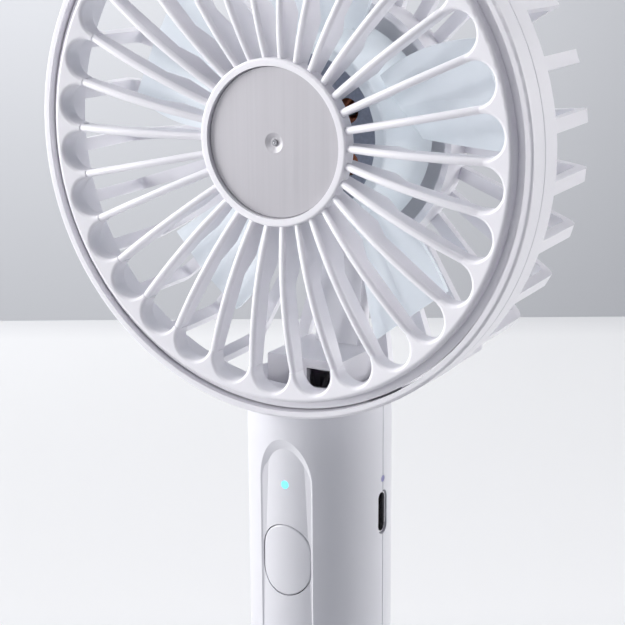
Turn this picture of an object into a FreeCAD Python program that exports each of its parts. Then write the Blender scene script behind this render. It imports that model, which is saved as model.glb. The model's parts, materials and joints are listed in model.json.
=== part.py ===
"""Rechargeable handheld fan: a caged round head on a cylindrical handle.

Frame: +Z up along the handle, origin at the centre of the foot, +X to the fan's left hand,
front towards -Y. The fan axis runs along Y at head_height. Millimetres.
"""
import FreeCAD, Part
import math
import os

import Sketcher

Vector = FreeCAD.Vector

# Driving dimensions. Depths in the head are counted from the handle's axis, towards the front,
# and the catch angle goes clockwise from the top, seen from the front.
SIZES = {
    # head
    "head_height": 158.0,
    "drum_radius": 54.5,
    "drum_inside": 53.0,
    "drum_front": 18.8,
    "drum_back": 8.0,
    "catch_count": 6.0,
    "catch_angle": 35.0,
    # front grille
    "slot_count": 30.0,
    "slot_centre": 45.3,
    "ring_edge": 50.9,
    "ring_front": 19.7,
    "ring_back": 15.6,
    "flange_radius": 52.6,
    "flange_front": 17.2,
    "skirt_radius": 51.4,
    "skirt_back": 10.4,
    "bead_radius": 0.75,
    "fin_thick": 1.1,
    "bow_radius": 66.0,
    "bow_centre": 34.5,
    "bow_drop": 47.0,
    "hub_radius": 16.3,
    "hub_front": 17.8,
    "badge_radius": 14.6,
    "badge_seat": 16.2,
    # rear cage
    "rear_count": 30.0,
    "rear_width": 2.6,
    "rear_corner": 53.9,
    "rear_back": 10.0,
    "cup_radius": 26.7,
    "cup_front": 6.0,
    "cup_back": 15.6,
    "cup_wall": 1.4,
    "cup_floor": 13.8,
    # impeller and motor
    "blade_count": 5.0,
    "cone_front_radius": 18.4,
    "cone_back_radius": 22.0,
    "cone_front": 6.0,
    "cone_back": 7.0,
    "bell_radius": 16.6,
    "shaft_radius": 1.0,
    "bearing_bore": 1.03,
    "bearing_radius": 3.0,
    "tooth_count": 9.0,
    "stack_back": 5.6,
    "stack_front": 0.6,
    # handle
    "handle_radius": 15.0,
    "handle_inside": 13.2,
    "shell_bottom": 3.7,
    "land_face": 14.1,
    "land_rise": 0.0155,
    "land_flat": 13.55,
    "land_inside": 11.4,
    "land_top": 97.8,
    "land_bottom": 40.0,
    "land_radius": 9.8,
    "ramp": 4.0,
    "button_height": 71.35,
    "button_long": 15.1,
    "button_wide": 11.0,
    "button_gap": 0.2,
    "lamp_height": 87.7,
    "port_height": 79.9,
    "port_long": 9.6,
    "port_wide": 3.8,
    "charge_height": 87.2,
    "switch_height": 75.9,
    # electrics
    "cell_radius": 9.1,
    "cell_bottom": 5.4,
    "cell_top": 70.0,
    "board_front": 2.7,
    "board_back": 1.7,
    "board_bottom": 72.7,
    "board_top": 91.0,
    "board_half": 11.0,
    # fasteners
    "case_screw_out": 9.0,
    "case_screw_height": 94.2,
    "motor_screw_out": 9.0,
}

document = FreeCAD.newDocument("HandheldFan")
sheet = document.addObject("Spreadsheet::Sheet", "Sizes")
for row, (name, number) in enumerate(SIZES.items(), start=1):
    sheet.set("A%d" % row, name)
    sheet.set("B%d" % row, str(number))
    sheet.setAlias("B%d" % row, name)
document.recompute()


class Size:
    """A number together with the sheet formula that gives it."""

    def __init__(self, value, formula):
        self.value = value
        self.formula = formula

    def __add__(self, other):
        other = as_size(other)
        return Size(self.value + other.value, "(%s + %s)" % (self.formula, other.formula))

    def __sub__(self, other):
        other = as_size(other)
        return Size(self.value - other.value, "(%s - %s)" % (self.formula, other.formula))

    def __mul__(self, other):
        other = as_size(other)
        return Size(self.value * other.value, "(%s * %s)" % (self.formula, other.formula))

    def __truediv__(self, other):
        other = as_size(other)
        return Size(self.value / other.value, "(%s / %s)" % (self.formula, other.formula))

    def __rsub__(self, other):
        return as_size(other) - self

    def __neg__(self):
        return Size(-self.value, "(0 - %s)" % self.formula)

    __radd__ = __add__
    __rmul__ = __mul__


def as_size(number):
    if isinstance(number, Size):
        return number
    return Size(float(number), "(%.6f)" % number)


def size(name):
    return Size(SIZES[name], "Sizes." + name)


def root(number):
    return Size(math.sqrt(number.value), "sqrt(%s)" % number.formula)


def sine(angle):
    return Size(math.sin(math.radians(angle.value)), "sin(%s * 1 deg)" % angle.formula)


def cosine(angle):
    return Size(math.cos(math.radians(angle.value)), "cos(%s * 1 deg)" % angle.formula)


def bind(thing, field, number):
    """Ties a field of an object to the sheet."""
    thing.setExpression(field, as_size(number).formula)


# ---------------------------------------------------------------- sketches
HEAD = FreeCAD.Placement(Vector(0, 0, SIZES["head_height"]), FreeCAD.Rotation(Vector(1, 0, 0), 90))


def new_body(label, in_head=False):
    """A body in the handle's frame, or in the head's: x right, y up, z to the front."""
    body = document.addObject("PartDesign::Body", label)
    body.Label = label
    if in_head:
        body.Placement = HEAD
        bind(body, "Placement.Base.z", size("head_height"))
    return body


def origin_item(body, role):
    for item in body.Origin.OriginFeatures:
        if item.Role == role:
            return item
    raise ValueError(role)


def new_sketch(body, plane, lift=0.0, turn=None, turn_axis=Vector(0, 0, 1)):
    """A sketch on one of the body's own planes, lifted along its normal or turned."""
    drawing = body.newObject("Sketcher::SketchObject", body.Label + "_sketch")
    drawing.AttachmentSupport = [(origin_item(body, plane), "")]
    drawing.MapMode = "FlatFace"
    angle = as_size(turn if turn is not None else 0.0)
    drawing.AttachmentOffset = FreeCAD.Placement(
        Vector(0, 0, as_size(lift).value), FreeCAD.Rotation(turn_axis, angle.value))
    bind(drawing, "AttachmentOffset.Base.z", lift)
    if turn is not None:
        bind(drawing, "AttachmentOffset.Rotation.Angle", angle)
    return drawing


def place_point(drawing, item, point, across, up):
    """Fixes a point of the sketch at its two distances from the origin."""
    for kind, number in (("DistanceX", as_size(across)), ("DistanceY", as_size(up))):
        index = drawing.addConstraint(Sketcher.Constraint(kind, -1, 1, item, point, number.value))
        drawing.setExpression("Constraints[%d]" % index, number.formula)


def set_radius(drawing, item, radius):
    radius = as_size(radius)
    index = drawing.addConstraint(Sketcher.Constraint("Radius", item, radius.value))
    drawing.setExpression("Constraints[%d]" % index, radius.formula)


def draw_lines(drawing, corners, rounds=None, closed=True):
    """Straight lines through the corners, with rounds = {corner number: radius}."""
    first = drawing.GeometryCount
    spots = [Vector(as_size(x).value, as_size(y).value, 0) for x, y in corners]
    ends = spots[1:] + spots[:1] if closed else spots[1:]
    for start, end in zip(spots, ends):
        drawing.addGeometry(Part.LineSegment(start, end), False)
    count = len(ends)
    for number in range(count if closed else count - 1):
        after = (number + 1) % count
        drawing.addConstraint(Sketcher.Constraint("Coincident", first + number, 2, first + after, 1))
    for number, (across, up) in enumerate(corners):
        if number < count:
            place_point(drawing, first + number, 1, across, up)
        else:
            place_point(drawing, first + number - 1, 2, across, up)
    for number, radius in (rounds or {}).items():
        before = first + (number - 1) % count
        after = first + number
        here = spots[number]
        towards = (spots[number - 1] + here) * 0.5
        away = (ends[number] + here) * 0.5
        drawing.fillet(before, after, towards, away, as_size(radius).value, True, True)
        arcs = [i for i in range(first, drawing.GeometryCount)
                if isinstance(drawing.Geometry[i], Part.ArcOfCircle)]
        set_radius(drawing, arcs[-1], radius)
    return drawing


def draw_box(drawing, left, low, right, high, rounds=None):
    return draw_lines(drawing, [(left, low), (right, low), (right, high), (left, high)], rounds)


def draw_circle(drawing, across, up, radius):
    spot = Vector(as_size(across).value, as_size(up).value, 0)
    circle = Part.Circle(spot, Vector(0, 0, 1), as_size(radius).value)
    item = drawing.addGeometry(circle, False)
    place_point(drawing, item, 3, across, up)
    set_radius(drawing, item, radius)
    return drawing


def draw_slot(drawing, up, long, wide):
    """An upright round-ended slot centred on the sketch's vertical axis."""
    radius = as_size(wide) / 2
    reach = as_size(long) / 2 - radius
    top = as_size(up) + reach
    bottom = as_size(up) - reach
    r, high, low = radius.value, top.value, bottom.value
    normal = Vector(0, 0, 1)
    upper = drawing.addGeometry(Part.ArcOfCircle(
        Part.Circle(Vector(0, high, 0), normal, r), 0, math.pi), False)
    lower = drawing.addGeometry(Part.ArcOfCircle(
        Part.Circle(Vector(0, low, 0), normal, r), math.pi, 2 * math.pi), False)
    left = drawing.addGeometry(Part.LineSegment(Vector(-r, high, 0), Vector(-r, low, 0)), False)
    right = drawing.addGeometry(Part.LineSegment(Vector(r, low, 0), Vector(r, high, 0)), False)
    for first, first_end, second, second_end in (
            (upper, 2, left, 1), (left, 2, lower, 1), (lower, 2, right, 1), (right, 2, upper, 1)):
        drawing.addConstraint(Sketcher.Constraint("Tangent", first, first_end, second, second_end))
    place_point(drawing, upper, 3, 0, top)
    place_point(drawing, lower, 3, 0, bottom)
    set_radius(drawing, upper, radius)
    return drawing


# ---------------------------------------------------------------- features
def pad(body, drawing, length, both=False, ahead=True):
    """Adds the sketch's outline, along its normal, against it, or half each way."""
    feature = body.newObject("PartDesign::Pad", body.Label + "_pad")
    feature.Profile = drawing
    feature.Midplane = both
    feature.Reversed = not ahead
    bind(feature, "Length", length)
    document.recompute()
    return feature


def revolve(body, drawing, axis="V_Axis", angle=360.0, both=False):
    feature = body.newObject("PartDesign::Revolution", body.Label + "_revolution")
    feature.Profile = drawing
    feature.ReferenceAxis = (drawing, [axis])
    feature.Midplane = both
    feature.Angle = angle
    document.recompute()
    return feature


def removed(body, feature, before):
    """Stops the script where a cut takes nothing away."""
    document.recompute()
    if body.Shape.Volume > before - 1e-4:
        raise RuntimeError(feature.Label + " cuts nothing")
    return feature


def cut(body, drawing, length=None, both=False, ahead=True):
    """Removes the sketch's outline along its normal, to a length or right through."""
    before = body.Shape.Volume
    feature = body.newObject("PartDesign::Pocket", body.Label + "_pocket")
    feature.Profile = drawing
    feature.Midplane = both
    feature.Reversed = ahead
    if length is None:
        feature.Type = "ThroughAll"
    else:
        bind(feature, "Length", length)
    return removed(body, feature, before)


def turn_away(body, drawing, axis="V_Axis"):
    """Removes a ring by revolving the sketch."""
    before = body.Shape.Volume
    feature = body.newObject("PartDesign::Groove", body.Label + "_groove")
    feature.Profile = drawing
    feature.ReferenceAxis = (drawing, [axis])
    feature.Angle = 360.0
    return removed(body, feature, before)


def repeat_round(body, features, count, axis="Z_Axis"):
    pattern = body.newObject("PartDesign::PolarPattern", body.Label + "_pattern")
    pattern.Originals = features
    pattern.Axis = (origin_item(body, axis), [""])
    pattern.Angle = 360.0
    bind(pattern, "Occurrences", count)
    body.Tip = pattern
    document.recompute()
    return pattern


def follow(body, path, radius):
    """A round bar along a path sketch."""
    circle = body.newObject("Sketcher::SketchObject", body.Label + "_section")
    circle.AttachmentSupport = [(path, "Edge1")]
    circle.MapMode = "NormalToEdge"
    circle.MapPathParameter = 0.0
    draw_circle(circle, 0, 0, radius)
    pipe = body.newObject("PartDesign::AdditivePipe", body.Label + "_pipe")
    pipe.Profile = circle
    pipe.Spine = path
    document.recompute()
    return pipe


PIECES = []


def keep(piece, label=None):
    if label:
        piece.Label = label
    PIECES.append(piece)
    return piece


def lathe(label, corners, in_head=False, rounds=None):
    """A turned piece: corners are (radius, height along the axis)."""
    body = new_body(label, in_head)
    drawing = new_sketch(body, "XZ_Plane")
    revolve(body, draw_lines(drawing, corners, rounds))
    return keep(body)


def box_piece(label, left, right, front, back, low, high):
    """A plain rectangular piece in the handle's frame."""
    block = document.addObject("Part::Box", label)
    bind(block, "Length", as_size(right) - left)
    bind(block, "Width", as_size(back) - front)
    bind(block, "Height", as_size(high) - low)
    bind(block, "Placement.Base.x", left)
    bind(block, "Placement.Base.y", front)
    bind(block, "Placement.Base.z", low)
    return block


def solids_piece(label, solids, placement=None):
    """One node made of several separate solids."""
    piece = document.addObject("Part::Feature", label)
    piece.Shape = Part.makeCompound(solids)
    if placement:
        piece.Placement = placement
    return keep(piece, label)


HALF_SLOT = as_size(180.0) / size("slot_count")
GRILLE_TURN = dict(turn=HALF_SLOT, turn_axis=Vector(0, 1, 0))


def bow(radius):
    """Depth of the ribs' front line at a radius: one shallow arc from hub to ring."""
    reach = as_size(radius) - size("bow_centre")
    return root(size("bow_radius") * size("bow_radius") - reach * reach) - size("bow_drop")


# ---------------------------------------------------------------- head
def front_grille():
    """Dished front grille: rim with round slot ends, bowed ribs with fins behind, hub cup, six lugs."""
    body = new_body("front_grille", in_head=True)
    slot_radius = size("slot_centre") * sine(HALF_SLOT) - size("bead_radius")
    web_start = size("slot_centre") * cosine(HALF_SLOT)
    inside = size("slot_centre") - slot_radius - 1.0
    ring = draw_lines(new_sketch(body, "XZ_Plane"), [
        (inside, size("ring_back")),
        (size("skirt_radius") - 1.2, size("ring_back")),
        (size("skirt_radius") - 1.2, size("skirt_back")),
        (size("skirt_radius"), size("skirt_back")),
        (size("skirt_radius"), size("flange_front") - 1.2),
        (size("flange_radius"), size("flange_front") - 1.2),
        (size("flange_radius"), size("flange_front")),
        (size("ring_edge"), size("flange_front")),
        (size("ring_edge"), size("ring_front")),
        (inside, size("ring_front") - 1.1),
    ], rounds={8: 0.8})
    revolve(body, ring)

    # round slot ends in the rim, softened in front, then opened towards the hub
    lobe = draw_circle(new_sketch(body, "XY_Plane"), 0, size("slot_centre"), slot_radius)
    slots = repeat_round(body, [cut(body, lobe)], size("slot_count"))
    rims = []
    for number, edge in enumerate(body.Shape.Edges, start=1):
        box = edge.BoundBox
        if abs(edge.Length - 2 * math.pi * slot_radius.value) < 1.0 and box.YMax < -16.5:
            rims.append("Edge%d" % number)
    softened = body.newObject("PartDesign::Fillet", "slot_rims")
    softened.Base = (slots, rims)
    softened.Radius = 0.7
    document.recompute()
    inner = draw_box(new_sketch(body, "XZ_Plane"), inside - 2.0, 10.0, web_start, 25.0)
    turn_away(body, inner)

    # one rib: a thin fin, deeper next to the hub, with a round bead along its front edge
    hub_end = 15.2
    ring_end = size("slot_centre") + 1.4
    fin_sketch = new_sketch(body, "YZ_Plane", **GRILLE_TURN)
    draw_lines(fin_sketch, [(reach, bow(reach)) for reach in (hub_end, 23.0, 31.0, 39.0)] + [
        (ring_end, bow(ring_end)),
        (ring_end, size("ring_back") - 0.2),
        (28.4, size("ring_back") - 0.5),
        (24.6, 12.4),
        (hub_end, 13.0),
    ])
    fin = pad(body, fin_sketch, size("fin_thick"), both=True)
    line = new_sketch(body, "YZ_Plane", **GRILLE_TURN)
    centre = Vector(SIZES["bow_centre"], -SIZES["bow_drop"], 0)
    arc = Part.ArcOfCircle(Part.Circle(centre, Vector(0, 0, 1), SIZES["bow_radius"]),
                           math.radians(79.0), math.radians(107.0))
    line.addGeometry(arc, False)
    place_point(line, 0, 3, size("bow_centre"), -size("bow_drop"))
    set_radius(line, 0, size("bow_radius"))
    for end, reach in ((1, ring_end), (2, as_size(hub_end + 0.2))):
        index = line.addConstraint(Sketcher.Constraint("DistanceX", -1, 1, 0, end, reach.value))
        line.setExpression("Constraints[%d]" % index, reach.formula)
    bead = follow(body, line, size("bead_radius"))

    hub = draw_lines(new_sketch(body, "XZ_Plane"), [
        (0.7, 15.0),
        (14.6, 15.0),
        (14.6, 13.4),
        (15.6, 13.4),
        (15.6, 14.6),
        (size("hub_radius"), 14.8),
        (size("hub_radius"), size("hub_front")),
        (size("badge_radius") + 0.15, size("hub_front")),
        (size("badge_radius") + 0.15, size("badge_seat")),
        (0.7, size("badge_seat")),
    ], rounds={6: 0.5})
    revolve(body, hub)
    repeat_round(body, [fin, bead], size("slot_count"))

    # bayonet lugs, which turn in behind the hooks inside the drum
    lug_sketch = new_sketch(body, "XY_Plane", size("skirt_back") + 0.2, turn=-size("catch_angle"))
    draw_box(lug_sketch, -2.7, size("skirt_radius") - 0.8, 2.7, size("flange_radius") - 0.15)
    lug = pad(body, lug_sketch, 1.4)
    repeat_round(body, [lug], size("catch_count"))
    return keep(body)


def rear_cage():
    """Drum, bent ribs, motor cup and wire duct in one moulding, with the neck that the handle grips."""
    body = new_body("rear_cage", in_head=True)
    drum = size("drum_radius")
    inside = size("drum_inside")
    seam = 13.4
    wall = draw_lines(new_sketch(body, "XZ_Plane"), [
        (drum, size("drum_front")),
        (inside, size("drum_front")),
        (inside, size("drum_back")),
        (drum, size("drum_back")),
        (drum, seam - 0.2),
        (drum - 0.2, seam),
        (drum, seam + 0.2),
    ], rounds={0: 0.6})
    revolve(body, wall)

    # the neck goes into the handle, under a saddle trimmed to the drum's curve
    plan = draw_circle(new_sketch(body, "XZ_Plane", 48.0), 0, 0, size("handle_radius") - 0.05)
    pad(body, plan, 12.0)
    outside = draw_box(new_sketch(body, "XZ_Plane"), drum, -16.0, 66.0, 16.0)
    turn_away(body, outside)
    neck = draw_lines(new_sketch(body, "XY_Plane"), [
        (11.0, -50.5), (12.9, -50.5), (12.9, -57.2), (12.0, -57.2), (12.0, -59.4),
        (12.9, -59.4), (12.9, -61.0), (11.0, -61.0)])
    revolve(body, neck)
    within = draw_box(new_sketch(body, "XZ_Plane"), 40.0, -16.0, inside, 16.0)
    turn_away(body, within)

    # one rib: back along the drum, round a corner and in to the motor cup
    rib = draw_lines(new_sketch(body, "YZ_Plane"), [
        (size("drum_radius") - 0.05, 9.5),
        (size("drum_inside") - 0.3, 9.5),
        (size("rear_corner") - 2.1, 1.6 - size("rear_back")),
        (size("cup_radius") - 0.6, -12.7),
        (size("cup_radius") - 0.6, -14.7),
        (size("rear_corner"), -size("rear_back")),
    ], rounds={2: 1.4, 5: 2.4})
    bar = pad(body, rib, size("rear_width"), both=True)
    cup = draw_lines(new_sketch(body, "XZ_Plane"), [
        (0, -size("cup_back")),
        (size("cup_radius"), -size("cup_back")),
        (size("cup_radius"), -size("cup_front")),
        (size("cup_radius") - size("cup_wall"), -size("cup_front")),
        (size("cup_radius") - size("cup_wall"), -size("cup_floor")),
        (0, -size("cup_floor")),
    ], rounds={1: 2.4, 4: 0.8})
    revolve(body, cup)
    repeat_round(body, [bar], size("rear_count"))

    # wire duct along the bottom, and the block that it comes out of
    duct = draw_lines(new_sketch(body, "YZ_Plane"), [
        (-25.8, -14.75), (-53.2, -10.2), (-53.2, -5.8), (-25.8, -10.1)])
    pad(body, duct, 10.0, both=True)
    block = draw_box(new_sketch(body, "XZ_Plane", 45.5), -8.5, -11.0, 8.5, 6.5, rounds={0: 1.5, 1: 1.5})
    pad(body, block, 8.2)
    cavity = draw_box(new_sketch(body, "XZ_Plane", 47.0), -7.0, -9.6, 7.0, 5.2)
    cut(body, cavity, 12.0)
    channel = draw_lines(new_sketch(body, "YZ_Plane"), [
        (-24.0, -13.4), (-50.0, -9.4), (-50.0, -7.2), (-24.0, -11.2)])
    cut(body, channel, 6.4, both=True)
    window = draw_box(new_sketch(body, "XY_Plane", 4.0), 0.8, -51.6, 6.2, -47.4)
    cut(body, window, 4.0)

    # pilot holes of the motor screws, and the hooks that hold the grille's lugs
    screw = draw_circle(new_sketch(body, "XY_Plane", -15.2), 0, size("motor_screw_out"), 0.85)
    repeat_round(body, [cut(body, screw, 3.0)], 3)
    hook_sketch = new_sketch(body, "XY_Plane", size("skirt_back") + 1.9, turn=-size("catch_angle"))
    draw_box(hook_sketch, -3.6, size("skirt_radius") + 0.3, 3.6, inside + 0.3)
    repeat_round(body, [pad(body, hook_sketch, 1.4)], size("catch_count"))
    return keep(body)


def hub_trim():
    """The badge disc in the hub, dished round the pin that holds it."""
    seat = size("badge_seat")
    lathe("hub_badge", [
        (0.65, seat), (size("badge_radius"), seat), (size("badge_radius"), seat + 0.6),
        (2.0, seat + 0.6), (0.95, seat + 0.2), (0.65, seat + 0.2)],
        in_head=True, rounds={2: 0.15})
    lathe("badge_pin", [
        (0, seat - 1.8), (1.3, seat - 1.8), (1.3, seat - 1.25), (0.6, seat - 1.25),
        (0.6, seat + 0.55), (0.25, seat + 0.55), (0.15, seat + 0.3), (0, seat + 0.3)],
        in_head=True)


def impeller():
    """Hollow cone on the rotor bell, with twisted blades lofted through three sections."""
    body = new_body("impeller", in_head=True)
    front = size("cone_front")
    back = -size("cone_back")
    sleeve = size("bell_radius") + 0.1
    shell = draw_lines(new_sketch(body, "XZ_Plane"), [
        (size("cone_back_radius"), back),
        (size("cone_front_radius"), front),
        (sleeve - 0.5, front),
        (sleeve - 0.5, front - 1.8),
        (sleeve, front - 1.8),
        (sleeve, -5.5),
        (sleeve + 1.0, -5.5),
        (sleeve + 1.0, front - 2.4),
        (size("cone_back_radius") - 1.25, back),
    ], rounds={1: 0.6})
    revolve(body, shell)
    # blade sections: reach along the blade, half chord, front and back depths, sweep, camber
    sections = []
    for reach, half, front_depth, back_depth, sweep, camber in (
            (19.3, 6.8, 4.2, -5.4, 0.0, 1.0),
            (30.0, 10.2, 4.6, -4.8, 1.0, 1.6),
            (41.2, 11.6, 3.8, -3.2, 3.6, 1.1)):
        middle = (front_depth + back_depth) / 2
        thick = 1.1
        outline = draw_lines(new_sketch(body, "XZ_Plane", -reach), [
            (sweep - half, front_depth),
            (sweep, middle + camber + thick / 2),
            (sweep + half, back_depth + thick),
            (sweep + half, back_depth),
            (sweep, middle + camber - thick / 2),
            (sweep - half, front_depth - thick),
        ])
        sections.append(outline)
    blade = body.newObject("PartDesign::AdditiveLoft", "blade")
    blade.Profile = sections[0]
    blade.Sections = sections[1:]
    document.recompute()
    repeat_round(body, [blade], size("blade_count"))
    return keep(body)


def motor():
    """Outrunner motor: bell, magnet and shaft turn round the wound core on its base."""
    bell = size("bell_radius")
    shaft = size("shaft_radius")
    body = new_body("rotor_bell", in_head=True)
    cup = draw_lines(new_sketch(body, "XZ_Plane"), [
        (bell, -6.6), (bell, 4.0), (2.6, 4.0), (2.6, 5.4), (shaft + 0.02, 5.4), (shaft + 0.02, 2.4),
        (3.0, 2.4), (3.0, 3.0), (bell - 0.8, 3.0), (bell - 0.8, -6.6)], rounds={1: 0.8})
    revolve(body, cup)
    window = draw_slot(new_sketch(body, "XY_Plane"), 9.6, 6.4, 5.0)
    repeat_round(body, [cut(body, window)], 6)
    keep(body)

    lathe("magnet_ring", [(14.4, -6.4), (bell - 0.85, -6.4), (bell - 0.85, 0.6), (14.4, 0.6)],
          in_head=True)
    lathe("motor_shaft", [(0, -13.0), (shaft, -13.0), (shaft, 6.2), (0, 6.2)], in_head=True)
    lathe("shaft_clip", [(shaft, -12.7), (2.0, -12.7), (2.0, -12.3), (shaft, -12.3)], in_head=True)
    lathe("motor_base", [
        (0, -13.75), (12.0, -13.75), (12.0, -12.6), (4.8, -12.6), (4.8, -10.2), (3.8, -10.2),
        (3.8, 1.6), (3.02, 1.6), (3.02, -13.2), (0, -13.2)], in_head=True)
    base = PIECES[-1]
    hole = draw_circle(new_sketch(base, "XY_Plane", -14.0), 0, size("motor_screw_out"), 0.95)
    repeat_round(base, [cut(base, hole, 2.0)], 3)

    core = new_body("stator_core", in_head=True)
    back = -size("stack_back")
    stack = size("stack_back") - size("stack_front")
    hub = new_sketch(core, "XY_Plane", back)
    draw_circle(hub, 0, 0, 6.4)
    draw_circle(hub, 0, 0, 3.85)
    pad(core, hub, stack)
    tooth = draw_lines(new_sketch(core, "XY_Plane", back), [
        (-0.9, 5.8), (0.9, 5.8), (0.9, 12.5), (3.3, 12.9), (3.3, 13.5), (-3.3, 13.5), (-3.3, 12.9),
        (-0.9, 12.5)])
    repeat_round(core, [pad(core, tooth, stack)], size("tooth_count"))
    keep(core)

    coils = []
    teeth = int(SIZES["tooth_count"])
    for number in range(teeth):
        outer = Part.makeBox(4.3, 5.2, 8.0, Vector(-2.15, 6.95, -7.1))
        outer = outer.makeFillet(0.9, [edge for edge in outer.Edges if edge.BoundBox.YLength > 5])
        inner = Part.makeBox(1.9, 7.0, 5.2, Vector(-0.95, 6.0, -5.7))
        coil = outer.cut(inner)
        coil.rotate(Vector(), Vector(0, 0, 1), 360.0 * number / teeth)
        coils.append(coil)
    solids_piece("stator_windings", coils, HEAD)

    board = new_body("motor_board", in_head=True)
    ring = new_sketch(board, "XY_Plane", -10.2)
    draw_circle(ring, 0, 0, 13.0)
    draw_circle(ring, 0, 0, 3.9)
    pad(board, ring, 1.0)
    keep(board)
    chips = []
    for angle, across, along, high in ((70, 3.0, 3.0, 0.9), (150, 1.6, 1.0, 0.7), (230, 2.0, 1.2, 0.7)):
        chip = Part.makeBox(across, along, high, Vector(-across / 2, 8.0, -9.2))
        chip.rotate(Vector(), Vector(0, 0, 1), angle)
        chips.append(chip)
    solids_piece("motor_chips", chips, HEAD)

    bearings = []
    for start in (-11.6, -0.9):
        ring = Part.makeCylinder(SIZES["bearing_radius"], 2.3, Vector(0, 0, start))
        bore = Part.makeCylinder(SIZES["bearing_bore"], 2.3, Vector(0, 0, start))
        bearings.append(ring.cut(bore))
    solids_piece("shaft_bearings", bearings, HEAD)

    screws = []
    for number in range(3):
        screw = Part.makeCylinder(1.7, 1.0, Vector(0, 0, -12.6))
        screw = screw.makeFillet(0.35, [screw.Edges[0]])
        screw = screw.fuse(Part.makeCylinder(0.8, 2.5, Vector(0, 0, -15.1)))
        screw = screw.cut(cross_recess(0.55, 0.5, Vector(0, 0, -12.1)))
        screw.translate(Vector(0, SIZES["motor_screw_out"], 0))
        screw.rotate(Vector(), Vector(0, 0, 1), 120.0 * number)
        screws.append(screw)
    solids_piece("motor_screws", screws, HEAD)


def cross_recess(arm, deep, bottom):
    """A cross-shaped driver recess, standing on its bottom point."""
    thin = arm / 2
    first = Part.makeBox(2 * arm, thin, deep, bottom - Vector(arm, thin / 2, 0))
    second = Part.makeBox(thin, 2 * arm, deep, bottom - Vector(thin / 2, arm, 0))
    return first.fuse(second).removeSplitter()


# ---------------------------------------------------------------- handle
def shell_half(label, side):
    """Half of the handle: side is -1 for the front half and +1 for the rear one."""
    body = new_body(label)
    outer = size("handle_radius") * side
    inner = size("handle_inside") * side
    cradle = (size("cell_radius") + 0.25) * side
    lock = 12.15 * side
    corners = [(outer, size("shell_bottom")), (outer, 112.0), (inner, 112.0),
               (inner, 100.6), (lock, 100.6), (lock, 98.8), (inner, 98.8)]
    for height in (60.0, 40.0, 20.0):
        corners += [(inner, height + 1.2), (cradle, height + 1.2), (cradle, height), (inner, height)]
    corners += [(inner, size("shell_bottom"))]
    revolve(body, draw_lines(new_sketch(body, "YZ_Plane"), corners), angle=180.0, both=True)
    return body


def finish_half(body):
    """Cuts what both halves share: the top, the charging port, its lamp hole and a fine seam."""
    top = draw_circle(new_sketch(body, "XZ_Plane"), 0, size("head_height"), size("drum_radius") + 0.3)
    cut(body, top, 60.0, both=True)
    port = draw_slot(new_sketch(body, "YZ_Plane", 10.0), size("port_height"), size("port_long"),
                     size("port_wide"))
    cut(body, port, 8.0)
    lamp = draw_circle(new_sketch(body, "YZ_Plane", 10.0), 0, size("charge_height"), 0.75)
    cut(body, lamp, 8.0)
    seam = new_sketch(body, "XZ_Plane")
    draw_box(seam, size("handle_radius") - 0.25, 3.0, size("handle_radius") + 1.0, 112.0)
    draw_box(seam, -size("handle_radius") - 1.0, 3.0, 0.25 - size("handle_radius"), 112.0)
    cut(body, seam, 0.3, both=True)


def boss(body, across, height, radius, reach, ahead):
    """A screw boss from the parting plane to the wall, trimmed flush outside."""
    ring = draw_circle(new_sketch(body, "XZ_Plane"), across, height, radius)
    pad(body, ring, reach, ahead=ahead)


def trim_outside(body, low, high):
    """Takes off what stands out of the handle's round between two heights."""
    waste = draw_box(new_sketch(body, "XZ_Plane"), size("handle_radius"), low, 24.0, high)
    turn_away(body, waste)


def land_floor(height):
    """Radius of the thumb land's round floor, which runs out to the handle's surface lower down."""
    return size("land_face") + (size("land_top") - height) * size("land_rise")


def handle_front_shell():
    """Front half: the thumb land with the button and lamp holes, and posts for board and screws."""
    body = shell_half("handle_front_shell", -1)
    out = size("case_screw_out")
    for side in (-1, 1):
        boss(body, out * side, size("case_screw_height"), 2.4, 14.0, ahead=True)
    trim_outside(body, 85.0, 99.0)
    for height in (75.2, 88.4):
        post = draw_circle(new_sketch(body, "XZ_Plane", size("board_front")), -8.8, height, 1.9)
        pad(body, post, 7.6)
    backing = draw_box(new_sketch(body, "XZ_Plane", size("land_inside")), -7.2, 14.0, 7.2, 96.8)
    pad(body, backing, 1.7)

    outlines = []
    for lift, shrink in ((size("handle_radius") + 0.1, 0.0), (size("land_flat"), size("ramp"))):
        shrink = as_size(shrink)
        middle = (size("land_top") + size("land_bottom")) / 2
        long = size("land_top") - size("land_bottom") - shrink * 2
        wide = size("land_radius") * 2 - shrink * 2
        outlines.append(draw_slot(new_sketch(body, "XZ_Plane", lift), middle, long, wide))
    before = body.Shape.Volume
    land = body.newObject("PartDesign::SubtractiveLoft", "land")
    land.Profile = outlines[0]
    land.Sections = outlines[1:]
    removed(body, land, before)
    low = size("land_bottom")
    high = size("land_top") + 0.8
    floor = draw_lines(new_sketch(body, "YZ_Plane"), [
        (-13.3, low), (-13.3, high), (land_floor(high) * -1, high), (land_floor(low) * -1, low)])
    revolve(body, floor, angle=180.0, both=True)

    gap = size("button_gap") * 2
    opening = draw_slot(new_sketch(body, "XZ_Plane", 9.0), size("button_height"),
                        size("button_long") + gap, size("button_wide") + gap)
    cut(body, opening, 8.0)
    lamp = draw_circle(new_sketch(body, "XZ_Plane", 9.0), 0, size("lamp_height"), 0.85)
    cut(body, lamp, 8.0)
    for side in (-1, 1):
        hole = draw_circle(new_sketch(body, "XZ_Plane"), out * side, size("case_screw_height"), 0.98)
        cut(body, hole, 7.0)
    for height in (75.2, 88.4):
        hole = draw_circle(new_sketch(body, "XZ_Plane"), -8.8, height, 0.8)
        cut(body, hole, 7.5)
    finish_half(body)
    return keep(body)


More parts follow.
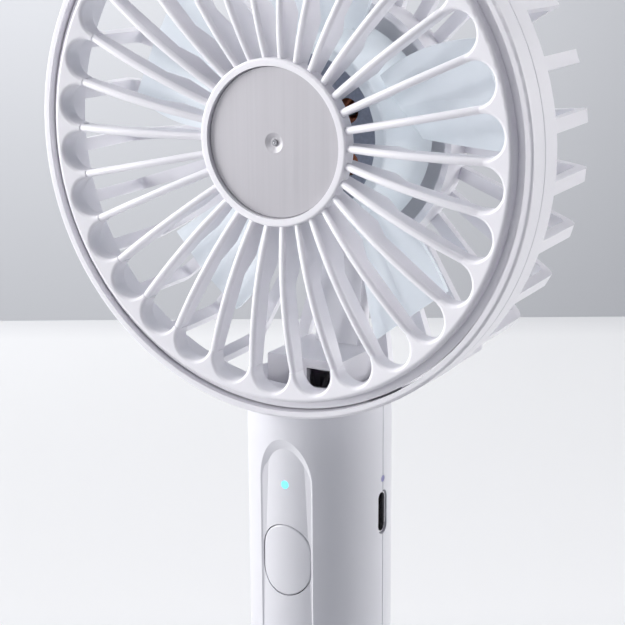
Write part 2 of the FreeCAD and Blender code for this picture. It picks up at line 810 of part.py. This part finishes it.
def handle_rear_shell():
    """Rear half: two sunk screw holes and the channel for the cell's lead."""
    body = shell_half("handle_rear_shell", 1)
    out = size("case_screw_out")
    for side in (-1, 1):
        boss(body, out * side, size("case_screw_height"), 2.6, 14.0, ahead=False)
    trim_outside(body, 85.0, 99.0)
    for side in (-1, 1):
        hole = draw_circle(new_sketch(body, "XZ_Plane"), out * side, size("case_screw_height"), 1.1)
        cut(body, hole, 16.0, ahead=False)
        sink = draw_circle(new_sketch(body, "XZ_Plane", -6.5), out * side,
                           size("case_screw_height"), 2.1)
        cut(body, sink, 10.0, ahead=False)
    lead = draw_box(new_sketch(body, "XZ_Plane", -9.0), -1.2, 10.0, 1.2, 66.0)
    cut(body, lead, 2.6, ahead=False)
    finish_half(body)
    return keep(body)


def end_cap():
    """Foot of the handle, with a plug that goes up inside both halves."""
    radius = size("handle_radius")
    plug = size("handle_inside") - 0.25
    floor = size("shell_bottom") - 0.1
    lathe("end_cap", [
        (0, 0), (radius - 1.1, 0), (radius, 1.1), (radius, floor), (plug, floor), (plug, 8.0),
        (plug - 1.6, 8.0), (plug - 1.6, floor), (0, floor)])


def controls():
    """The push-button and the switch that it works."""
    body = new_body("power_button")
    face = draw_slot(new_sketch(body, "XZ_Plane", 10.4), size("button_height"),
                     size("button_long"), size("button_wide"))
    pad(body, face, size("handle_radius") - 10.4)
    low = size("button_height") - size("button_long") / 2 - 1.0
    high = size("button_height") + size("button_long") / 2 + 1.0
    cap = turn_away(body, draw_lines(new_sketch(body, "XZ_Plane"), [
        (land_floor(low) + 0.05, low), (24.0, low), (24.0, high), (land_floor(high) + 0.05, high)]))
    touch = next(face for face in body.Shape.Faces if face.Surface.TypeId == "Part::GeomCone")
    rim = ["Edge%d" % number for number, edge in enumerate(body.Shape.Edges, start=1)
           if any(edge.isSame(other) for other in touch.Edges)]
    edge_round = body.newObject("PartDesign::Fillet", "button_rim")
    edge_round.Base = (cap, rim)
    edge_round.Radius = 0.35
    document.recompute()
    flange = draw_slot(new_sketch(body, "XZ_Plane", 10.3), size("button_height"),
                       size("button_long") + 1.6, size("button_wide") + 1.6)
    pad(body, flange, 0.8)
    stem = draw_circle(new_sketch(body, "XZ_Plane", 7.75), 0, size("switch_height"), 1.8)
    pad(body, stem, 2.8)
    keep(body)

    plunger = new_body("switch_plunger")
    disc = draw_circle(new_sketch(plunger, "XZ_Plane", 4.9), 0, size("switch_height"), 1.6)
    pad(plunger, disc, 2.8)
    keep(plunger)

    switch = new_body("power_switch")
    front = 6.1
    case = draw_box(new_sketch(switch, "XZ_Plane", size("board_front")), -3.0,
                    size("switch_height") - 3.0, 3.0, size("switch_height") + 3.0,
                    rounds={0: 0.6, 1: 0.6, 2: 0.6, 3: 0.6})
    pad(switch, case, front - size("board_front"))
    well = draw_circle(new_sketch(switch, "XZ_Plane", 4.3), 0, size("switch_height"), 1.7)
    cut(switch, well, 3.0)
    keep(switch)


def lamps():
    """Light guide over the power lamp, and the small lens over the charging lamp."""
    guide = new_body("light_guide")
    for lift, radius, length in ((10.4, 0.8, land_floor(size("lamp_height")) - 10.4),
                                 (9.6, 1.4, 1.6),
                                 (3.6, 1.0, 6.2)):
        disc = draw_circle(new_sketch(guide, "XZ_Plane", lift), 0, size("lamp_height"), radius)
        pad(guide, disc, length)
    keep(guide)
    keep(box_piece("power_led", -0.8, 0.8, -3.5, -size("board_front"),
                   size("lamp_height") - 0.4, size("lamp_height") + 0.4), "power_led")

    lens = new_body("charge_lens")
    for lift, radius, length in ((11.6, 1.2, 1.4), (12.6, 0.7, size("handle_radius") - 12.65)):
        disc = draw_circle(new_sketch(lens, "YZ_Plane", lift), 0, size("charge_height"), radius)
        pad(lens, disc, length)
    keep(lens)
    keep(box_piece("charge_led", 9.6, 11.0, -size("board_back"), 0.4,
                   size("charge_height") - 0.5, size("charge_height") + 0.5), "charge_led")


def charging_port():
    """Receptacle shell with its tongue, opening through the side seam."""
    socket = new_body("usb_socket")
    outline = new_sketch(socket, "YZ_Plane", 7.5)
    draw_slot(outline, size("port_height"), 9.0, 3.2)
    draw_slot(outline, size("port_height"), 8.4, 2.6)
    pad(socket, outline, 7.1)
    keep(socket)
    tongue = new_body("usb_tongue")
    base = draw_slot(new_sketch(tongue, "YZ_Plane", 7.5), size("port_height"), 8.3, 2.5)
    pad(tongue, base, 1.6)
    blade = draw_box(new_sketch(tongue, "YZ_Plane", 9.0), -0.35, size("port_height") - 3.3,
                     0.35, size("port_height") + 3.3)
    pad(tongue, blade, 4.9)
    keep(tongue)


def electrics():
    """Circuit board with its chips, and the cell between two foam pads."""
    board = new_body("main_board")
    outline = draw_box(new_sketch(board, "XZ_Plane", size("board_back")), -size("board_half"),
                       size("board_bottom"), size("board_half"), size("board_top"),
                       rounds={0: 1.0, 1: 1.0, 2: 1.0, 3: 1.0})
    pad(board, outline, size("board_front") - size("board_back"))
    for height in (75.2, 88.4):
        hole = draw_circle(new_sketch(board, "XZ_Plane"), -8.8, height, 0.95)
        cut(board, hole, 5.0)
    keep(board)

    face = -SIZES["board_back"]
    chips = []
    for across, height, wide, tall, deep in (
            (2.6, 83.0, 3.9, 4.9, 1.2), (-4.6, 84.0, 3.0, 3.0, 0.9), (-4.6, 79.2, 4.0, 4.0, 1.8),
            (5.4, 88.6, 1.6, 0.8, 0.7), (5.4, 86.8, 1.6, 0.8, 0.7), (3.4, 75.6, 2.0, 1.2, 0.8)):
        corner = Vector(across - wide / 2, face, height - tall / 2)
        chips.append(Part.makeBox(wide, deep, tall, corner))
    solids_piece("board_chips", chips)

    lathe("battery_cell", [
        (0, size("cell_bottom")), (size("cell_radius"), size("cell_bottom")),
        (size("cell_radius"), size("cell_top")), (2.8, size("cell_top")),
        (2.8, size("cell_top") + 0.9), (0, size("cell_top") + 0.9)], rounds={1: 0.6, 2: 0.8})
    lower = Part.makeCylinder(8.6, 1.6, Vector(0, 0, 3.7))
    upper = Part.makeCylinder(8.6, 1.5, Vector(0, 0, 70.1))
    upper = upper.cut(Part.makeCylinder(3.2, 1.5, Vector(0, 0, 70.1)))
    upper = upper.cut(Part.makeBox(3.0, 6.0, 1.5, Vector(-1.5, 3.5, 70.1)))
    solids_piece("battery_pads", [lower, upper])


def lead(label, across, corners, radius, rounds):
    """A wire whose route lies in one upright plane: corners are (back, height)."""
    body = new_body(label)
    path = new_sketch(body, "YZ_Plane", across)
    draw_lines(path, corners, rounds, closed=False)
    document.recompute()
    circle = new_sketch(body, "XY_Plane", corners[0][1])
    draw_circle(circle, across, corners[0][0], radius)
    pipe = body.newObject("PartDesign::AdditivePipe", label + "_pipe")
    pipe.Profile = circle
    pipe.Spine = path
    document.recompute()
    return body


def wiring():
    """Leads from the board up through the neck and duct to the motor, and from the cell."""
    motor_route = [(-1.15, 87.0), (-1.15, 92.0), (2.0, 96.5), (2.0, 102.0), (8.1, 107.0),
                   (12.15, 133.0), (12.1, 139.5), (10.85, 146.0)]
    motor_rounds = {1: 4.0, 2: 4.0, 3: 4.0, 4: 5.0, 5: 12.0, 6: 8.0}
    motor_pair = [lead("motor_lead", across, motor_route, 0.55, motor_rounds) for across in (-1.3, 1.3)]
    plus = lead("cell_lead", -1.2, [(1.4, 71.0), (1.4, 73.4), (-1.2, 77.0)], 0.5, {1: 1.5})
    minus = lead("cell_lead", 0.0, [(10.3, 6.0), (10.3, 72.4), (-1.2, 78.4)], 0.5, {1: 2.5})
    for label, members in (("motor_leads", motor_pair), ("battery_leads", [plus, minus])):
        group = document.addObject("Part::Compound", label)
        group.Links = members
        keep(group, label)
    document.recompute()


def fasteners():
    """Two screws through the rear half of the handle, and two that hold the board."""
    screws = []
    for side in (-1, 1):
        spot = Vector(SIZES["case_screw_out"] * side, 0, SIZES["case_screw_height"])
        head = Part.makeCylinder(1.9, 1.4, Vector(0, 0, 6.55))
        head = head.makeFillet(0.4, [head.Edges[0]])
        screw = head.fuse(Part.makeCylinder(0.95, 13.0, Vector(0, 0, -6.4)))
        screw = screw.cut(cross_recess(0.8, 0.9, Vector(0, 0, 7.1)))
        screw.rotate(Vector(), Vector(1, 0, 0), -90)
        screw.translate(spot)
        screws.append(screw)
    solids_piece("case_screws", screws)
    screws = []
    for height in (75.2, 88.4):
        head = Part.makeCylinder(1.5, 0.9, Vector(0, 0, -SIZES["board_back"]))
        screw = head.fuse(Part.makeCylinder(0.75, 5.0, Vector(0, 0, -6.6)))
        screw = screw.cut(cross_recess(0.6, 0.5, Vector(0, 0, -1.3)))
        screw.rotate(Vector(), Vector(1, 0, 0), -90)
        screw.translate(Vector(-8.8, 0, height))
        screws.append(screw)
    solids_piece("board_screws", screws)


front_grille()
hub_trim()
rear_cage()
impeller()
motor()
handle_front_shell()
handle_rear_shell()
end_cap()
controls()
lamps()
charging_port()
electrics()
wiring()
fasteners()

# ---------------------------------------------------------------- checks and files
document.recompute()
for thing in document.Objects:
    if {"Invalid", "Error"} & set(thing.State):
        raise RuntimeError("%s failed: %s" % (thing.Label, thing.State))
os.makedirs("parts", exist_ok=True)
for piece in PIECES:
    shape = piece.Shape
    if shape.isNull() or not shape.isValid() or not shape.Solids:
        raise RuntimeError("%s has no valid solid" % piece.Label)
    shape.exportStep(os.path.join("parts", piece.Label + ".step"))
print("%d pieces written" % len(PIECES))
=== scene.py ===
"""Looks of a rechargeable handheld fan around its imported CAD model.

Frame: +Z up along the handle, front towards -Y, origin at the centre of the foot. Metres.
"""

import json
import math

import bpy
from mathutils import Matrix, Vector


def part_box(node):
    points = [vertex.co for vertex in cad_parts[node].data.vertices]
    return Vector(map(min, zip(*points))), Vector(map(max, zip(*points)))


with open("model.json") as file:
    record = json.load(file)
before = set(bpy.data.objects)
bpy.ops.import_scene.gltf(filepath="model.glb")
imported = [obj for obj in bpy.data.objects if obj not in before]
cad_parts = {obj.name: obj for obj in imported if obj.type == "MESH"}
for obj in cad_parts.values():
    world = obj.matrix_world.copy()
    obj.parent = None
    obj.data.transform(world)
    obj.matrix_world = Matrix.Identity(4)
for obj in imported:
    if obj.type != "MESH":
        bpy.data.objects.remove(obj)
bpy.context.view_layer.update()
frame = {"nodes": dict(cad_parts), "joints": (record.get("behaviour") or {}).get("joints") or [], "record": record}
nodes = frame["nodes"]

# ---------------------------------------------------------------- places read from the frame
GRILLE_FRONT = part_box("front_grille")[0].y
hinge = next(joint for joint in frame["joints"] if joint["name"] == "impeller_spin")
AXLE = Vector(hinge["pos_m"])
RING_INSET = 0.0003        # the ring's centre lies this far behind the grille's front
LENS_DEPTH = 0.0004        # how deep the lamp's lens is lit
WAVE_FACTOR = 20           # the wave texture's own factor on distance


# ---------------------------------------------------------------- materials
def shade(colour, factor):
    """The same colour, darker by a factor."""
    return tuple(channel * factor for channel in colour)


class Nodes:
    """Short calls for building a node material round one Principled shader."""

    def __init__(self, name):
        self.material = bpy.data.materials.new(name)
        self.material.use_nodes = True
        self.tree = self.material.node_tree
        self.shader = self.tree.nodes["Principled BSDF"]

    def add(self, kind, **settings):
        node = self.tree.nodes.new(kind)
        for key, value in settings.items():
            setattr(node, key, value)
        return node

    def link(self, start, end):
        """Joins an output to an input, or to the shader's input of that name."""
        if isinstance(end, str):
            end = self.shader.inputs[end]
        self.tree.links.new(start, end)

    def spot(self):
        """The object's own coordinates, in metres."""
        return self.add("ShaderNodeTexCoord").outputs["Object"]

    def mapped(self, **settings):
        """The object's own coordinates, moved or stretched."""
        mapping = self.add("ShaderNodeMapping")
        for key, value in settings.items():
            mapping.inputs[key].default_value = value
        self.link(self.spot(), mapping.inputs["Vector"])
        return mapping.outputs["Vector"]

    def noise(self, scale, detail=3.0, stretch=(1, 1, 1)):
        noise = self.add("ShaderNodeTexNoise")
        noise.inputs["Scale"].default_value = scale
        noise.inputs["Detail"].default_value = detail
        self.link(self.mapped(Scale=stretch), noise.inputs["Vector"])
        return noise.outputs["Fac"]

    def ramp(self, value, stops):
        ramp = self.add("ShaderNodeValToRGB")
        while len(ramp.color_ramp.elements) < len(stops):
            ramp.color_ramp.elements.new(0.5)
        for element, (position, colour) in zip(ramp.color_ramp.elements, stops):
            element.position = position
            element.color = (*colour, 1.0)
        self.link(value, ramp.inputs["Fac"])
        return ramp.outputs["Color"]

    def span(self, value, low, high):
        """Maps 0..1 to low..high."""
        scaled = self.add("ShaderNodeMapRange")
        scaled.inputs["To Min"].default_value = low
        scaled.inputs["To Max"].default_value = high
        self.link(value, scaled.inputs["Value"])
        return scaled.outputs["Result"]

    def tone(self, value, dark, light, low=0.3, high=0.7):
        """Colours the surface from dark to light while the value goes from low to high."""
        self.link(self.ramp(value, [(low, dark), (high, light)]), "Base Color")

    def gloss(self, value, low, high):
        """Spreads the surface's roughness from low to high."""
        self.link(self.span(value, low, high), "Roughness")

    def bump(self, height, strength, distance):
        bump = self.add("ShaderNodeBump")
        bump.inputs["Strength"].default_value = strength
        bump.inputs["Distance"].default_value = distance
        self.link(height, bump.inputs["Height"])
        self.link(bump.outputs["Normal"], "Normal")

    def set(self, **values):
        """Sets the shader's own sockets, named with underscores for spaces."""
        for key, value in values.items():
            self.shader.inputs[key.replace("_", " ")].default_value = value


def moulded(name, light, dark, rough):
    """Satin injection-moulded plastic: fine spark-eroded grain, slow flow mottling."""
    look = Nodes(name)
    look.tone(look.noise(26.0, detail=4.0), dark, light)
    grain = look.noise(2600.0, detail=2.0)
    look.gloss(grain, rough - 0.05, rough + 0.07)
    look.bump(grain, 0.35, 0.000012)
    look.set(Subsurface_Weight=0.12, Subsurface_Scale=0.0012, Subsurface_Radius=(1.0, 0.9, 1.0))
    return look.material


def brushed(name, light, dark, rough, metallic):
    """Satin brushed sheet with fine upright strokes."""
    look = Nodes(name)
    strokes = look.noise(2400.0, stretch=(1.0, 1.0, 0.01))
    cloud = look.noise(60.0, detail=2.0, stretch=(1.0, 1.0, 0.3))
    mix = look.add("ShaderNodeMix", data_type="FLOAT")
    mix.inputs["Factor"].default_value = 0.35
    look.link(strokes, mix.inputs["A"])
    look.link(cloud, mix.inputs["B"])
    look.tone(mix.outputs["Result"], dark, light)
    look.gloss(strokes, rough - 0.08, rough + 0.1)
    look.bump(strokes, 0.06, 0.000005)
    look.set(Metallic=metallic)
    return look.material


def wound(name, light, dark, turn):
    """Enamelled wire laid in turns round the axle, one turn to each wave, with painted shade in the grooves
    between turns and a painted highlight on each turn's crown.
    """
    look = Nodes(name)
    turns = look.add("ShaderNodeTexWave", wave_type="RINGS", rings_direction="Y")
    turns.inputs["Scale"].default_value = 2 * math.pi / (WAVE_FACTOR * turn)
    turns.inputs["Distortion"].default_value = 0.6
    look.link(look.mapped(Location=tuple(-AXLE)), turns.inputs["Vector"])
    # painted shade in the grooves between turns, painted highlight on the crowns
    look.tone(turns.outputs["Fac"], dark, light, 0.1, 0.6)
    look.gloss(look.noise(2600.0), 0.24, 0.38)
    look.bump(turns.outputs["Fac"], 0.6, 0.00008)
    look.set(Metallic=1.0)
    return look.material


def metal(name, light, dark, rough, metallic=1.0):
    """Plain metal with fine mottling in tone and gloss."""
    look = Nodes(name)
    mottle = look.noise(1500.0, detail=4.0)
    look.tone(mottle, dark, light, 0.35, 0.65)
    look.gloss(mottle, rough - 0.07, rough + 0.1)
    look.bump(mottle, 0.15, 0.000008)
    look.set(Metallic=metallic)
    return look.material


def frosted(name, tint, clear, mist, painted_glow=0.0):
    """Clear plastic moulded with a light frost, with a painted glow (emission) that stands in for light scattering
    inside it.
    """
    look = Nodes(name)
    haze = look.noise(90.0)
    look.tone(haze, shade(tint, 0.97), tint)
    look.gloss(haze, 0.24, 0.38)
    look.link(look.span(haze, mist - 0.04, mist + 0.04), "Alpha")
    look.bump(look.noise(1800.0, detail=2.0), 0.15, 0.00001)
    look.set(Transmission_Weight=clear, IOR=1.45, Emission_Color=(*tint, 1.0),
             Emission_Strength=painted_glow)
    return look.material


def glowing(name, tint, glow, power, front):
    """A diffusing lens that is lit only in its face, in front of a given depth."""
    look = Nodes(name)
    haze = look.noise(1500.0, detail=2.0)
    look.tone(haze, shade(tint, 0.9), tint)
    split = look.add("ShaderNodeSeparateXYZ")
    look.link(look.spot(), split.inputs["Vector"])
    face = look.add("ShaderNodeMath", operation="LESS_THAN")
    face.inputs[1].default_value = front
    look.link(split.outputs["Y"], face.inputs[0])
    shine = look.add("ShaderNodeMath", operation="MULTIPLY")
    look.link(face.outputs["Value"], shine.inputs[0])
    look.link(look.span(haze, power * 0.85, power * 1.15), shine.inputs[1])
    look.link(shine.outputs["Value"], "Emission Strength")
    look.set(Emission_Color=(*glow, 1.0), Roughness=0.35)
    return look.material


def painted(name, light, dark, rough=0.4, grain=900.0):
    """Plain non-metal surface: solder mask, chip resin, foam, film or wire cover."""
    look = Nodes(name)
    mottle = look.noise(grain)
    look.tone(mottle, dark, light, 0.35, 0.65)
    look.gloss(mottle, rough - 0.06, rough + 0.08)
    look.bump(mottle, 0.2, 0.00002)
    return look.material


MATERIAL_OF = {
    "case_plastic": moulded("case_plastic", (0.745, 0.745, 0.785), (0.725, 0.725, 0.77), 0.3),
    "inner_plastic": moulded("inner_plastic", (0.7, 0.69, 0.72), (0.64, 0.63, 0.66), 0.45),
    "badge_metal": brushed("badge_metal", (0.475, 0.465, 0.495), (0.445, 0.435, 0.465),
                           rough=0.4, metallic=0.3),
    # the blades carry a faint painted glow in place of light scattered inside them
    "blade_plastic": frosted("blade_plastic", (0.9, 0.95, 0.99), clear=0.1, mist=0.8, painted_glow=0.13),
    "clear_plastic": frosted("clear_plastic", (0.42, 0.4, 0.75), clear=0.3, mist=0.85),
    "bright_steel": metal("bright_steel", (0.72, 0.72, 0.74), (0.55, 0.55, 0.58), 0.28),
    "pin_metal": metal("pin_metal", (0.86, 0.86, 0.88), (0.7, 0.7, 0.73), 0.14),
    "dark_steel": metal("dark_steel", (0.44, 0.48, 0.58), (0.36, 0.4, 0.49), 0.45, metallic=0.25),
    "magnet": metal("magnet", (0.09, 0.09, 0.1), (0.05, 0.05, 0.055), 0.6, metallic=0.5),
    "bronze": metal("bronze", (0.6, 0.4, 0.18), (0.42, 0.27, 0.11), 0.4),
    "copper_wire": wound("copper_wire", (0.75, 0.3, 0.16), (0.34, 0.11, 0.06), turn=0.00032),
    "circuit_board": painted("circuit_board", (0.2, 0.1, 0.07), (0.15, 0.07, 0.05)),
    "chip_black": painted("chip_black", (0.03, 0.03, 0.035), (0.015, 0.015, 0.018), rough=0.5),
    "battery_can": painted("battery_can", (0.17, 0.13, 0.13), (0.12, 0.09, 0.09),
                           rough=0.3, grain=200.0),
    "foam": painted("foam", (0.09, 0.07, 0.07), (0.05, 0.04, 0.04), rough=0.85, grain=2400.0),
    "wire_cover": painted("wire_cover", (0.72, 0.7, 0.71), (0.64, 0.62, 0.63), rough=0.35),
}
# painted light: a lighter copy of the case plastic for the grille and cage, making up for light the head gets too
# little of
head_painted_lighter = moulded("head_plastic_painted_lighter", (0.82, 0.812, 0.85), (0.8, 0.792, 0.835), 0.3)
lens_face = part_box("light_guide")[0].y + LENS_DEPTH
lit = glowing("power_lens", (0.25, 0.75, 0.95), (0.06, 0.6, 0.85), 1.3, lens_face)


def dress(name, material):
    for slot in nodes[name].material_slots:
        slot.material = material


for entry in frame["record"]["subparts"]:
    dress(entry["node"], MATERIAL_OF[entry["material_slot"]])
for name in ("front_grille", "rear_cage"):
    dress(name, head_painted_lighter)
for name in ("light_guide", "power_led"):
    dress(name, lit)


# ---------------------------------------------------------------- stage
# distances along the camera's level direction, from the middle of the foot
CAMERA_AZIMUTH = math.radians(30.456)
PAINTED_SHADE_FRONT = -0.5          # the darkest place of the painted shade, on the table's near side
TABLE_BACK = 0.452
TABLE_FRONT = 12.0
WALL_BACK = 1.6
WALL_LOW, WALL_TOP = -2.5, 4.0
STAGE_HALF = 4.0


def turned(ahead, aside, up):
    """A point given along and across the camera's level direction."""
    forward = Vector((-math.sin(CAMERA_AZIMUTH), math.cos(CAMERA_AZIMUTH), 0))
    side = Vector((math.cos(CAMERA_AZIMUTH), math.sin(CAMERA_AZIMUTH), 0))
    return tuple(forward * ahead + side * aside + Vector((0, 0, up)))


def stage_sheet(name, corners, material):
    mesh = bpy.data.meshes.new(name)
    mesh.from_pydata([turned(*corner) for corner in corners], [], [(0, 1, 2, 3)])
    mesh.materials.append(material)
    sheet = bpy.data.objects.new(name, mesh)
    bpy.context.scene.collection.objects.link(sheet)


def table_with_painted_shade():
    """Matt white table with painted shade: it greys towards its near side and darkens softly towards its far edge.
    """
    look = Nodes("table_with_painted_shade")
    line = look.add("ShaderNodeVectorMath", operation="DOT_PRODUCT")
    line.inputs[1].default_value = turned(1.0, 0.0, 0.0)
    look.link(look.spot(), line.inputs[0])
    depth = look.add("ShaderNodeMapRange")
    depth.inputs["From Min"].default_value = PAINTED_SHADE_FRONT
    depth.inputs["From Max"].default_value = TABLE_BACK
    look.link(line.outputs["Value"], depth.inputs["Value"])
    # painted shade: dark at the near side, lightest just behind the foot, darker again towards the far edge
    look.link(look.ramp(depth.outputs["Result"], [
        (0.0, (0.45, 0.455, 0.475)), (0.65, (0.86, 0.865, 0.875)), (0.81, (0.75, 0.755, 0.765)),
        (0.965, (0.66, 0.665, 0.675)), (1.0, (0.55, 0.555, 0.57))]), "Base Color")
    look.gloss(look.noise(30.0), 0.55, 0.65)
    look.set(Specular_IOR_Level=0.2)
    return look.material


def wall_grey():
    """Matt grey wall with a faint cloud in its paint."""
    look = Nodes("wall_grey")
    paint = (0.7, 0.71, 0.735)
    look.tone(look.noise(3.0, detail=2.0), shade(paint, 0.985), paint, 0.35, 0.65)
    look.set(Roughness=0.7, Specular_IOR_Level=0.2)
    return look.material


stage_sheet("table", [(-TABLE_FRONT, -STAGE_HALF, 0), (-TABLE_FRONT, STAGE_HALF, 0),
                      (TABLE_BACK, STAGE_HALF, 0), (TABLE_BACK, -STAGE_HALF, 0)],
            table_with_painted_shade())
stage_sheet("wall", [(WALL_BACK, -STAGE_HALF, WALL_LOW), (WALL_BACK, STAGE_HALF, WALL_LOW),
                     (WALL_BACK, STAGE_HALF, WALL_TOP), (WALL_BACK, -STAGE_HALF, WALL_TOP)],
            wall_grey())


# ---------------------------------------------------------------- camera
def aim_camera():
    """Looks from right of the front and a little above, with a long lens."""
    azimuth = CAMERA_AZIMUTH
    elevation = math.radians(14.576)
    roll = math.radians(-0.394)
    distance = 0.324282
    aside = 0.00852
    below = -0.03196
    ring_centre = Vector((AXLE.x, GRILLE_FRONT + RING_INSET, AXLE.z))
    away = Vector((math.sin(azimuth) * math.cos(elevation),
                   -math.cos(azimuth) * math.cos(elevation), math.sin(elevation)))
    right = Vector((math.cos(azimuth), math.sin(azimuth), 0))
    up = away.cross(right)
    across = right * math.cos(roll) + up * math.sin(roll)
    upright = up * math.cos(roll) - right * math.sin(roll)
    data = bpy.data.cameras.new("camera")
    data.sensor_width = 36.0
    data.lens = 98.22
    data.clip_start = 0.01
    camera = bpy.data.objects.new("camera", data)
    bpy.context.scene.collection.objects.link(camera)
    turn = Matrix((across, upright, away)).transposed().to_4x4()
    camera.matrix_world = Matrix.Translation(
        ring_centre + right * aside + up * below + away * distance) @ turn
    bpy.context.scene.camera = camera


aim_camera()


# ---------------------------------------------------------------- light
def hang(name, data, place, target):
    """Puts a lamp in its place, aimed at a target."""
    lamp = bpy.data.objects.new(name, data)
    bpy.context.scene.collection.objects.link(lamp)
    lamp.location = place
    aim = Vector(target) - Vector(lamp.location)
    lamp.rotation_euler = aim.to_track_quat("-Z", "Y").to_euler()


def softbox(name, place, target, width, height, power, colour=(1, 1, 1)):
    data = bpy.data.lights.new(name, "AREA")
    data.shape = "RECTANGLE"
    data.size = width
    data.size_y = height
    data.energy = power
    data.color = colour
    hang(name, data, place, target)


WARM = (1.0, 0.99, 0.98)
middle = (0, 0, AXLE.z * 0.8)
softbox("left_window", turned(0.0, -1.05, 0.3), middle, 0.7, 0.8, 13.0, WARM)
softbox("right_window", turned(0.14, 1.0, 0.2), middle, 0.6, 0.7, 8.0, WARM)
softbox("overhead", turned(-0.05, 0.0, 1.05), middle, 1.2, 0.5, 6.2, WARM)
softbox("wall_wash", turned(0.75, -0.55, 0.85), turned(WALL_BACK, -0.4, 0.3), 1.2, 0.9, 17.0)

# a narrow beam along the axle, which reaches in between the ribs
beam = bpy.data.lights.new("head_beam", "SPOT")
beam.energy = 11.5
beam.spot_size = math.radians(6.9)
beam.spot_blend = 0.25
beam.shadow_soft_size = 0.06
BEAM_FROM = Vector((-0.22, -0.95, 0.22))     # measured from the axle's own point
hang("head_beam", beam, AXLE + BEAM_FROM, AXLE)

world = bpy.data.worlds.new("studio")
bpy.context.scene.world = world
world.use_nodes = True
backdrop = world.node_tree.nodes["Background"]
backdrop.inputs["Color"].default_value = (0.62, 0.68, 0.85, 1.0)
backdrop.inputs["Strength"].default_value = 0.17

bpy.context.scene.view_settings.view_transform = "Standard"
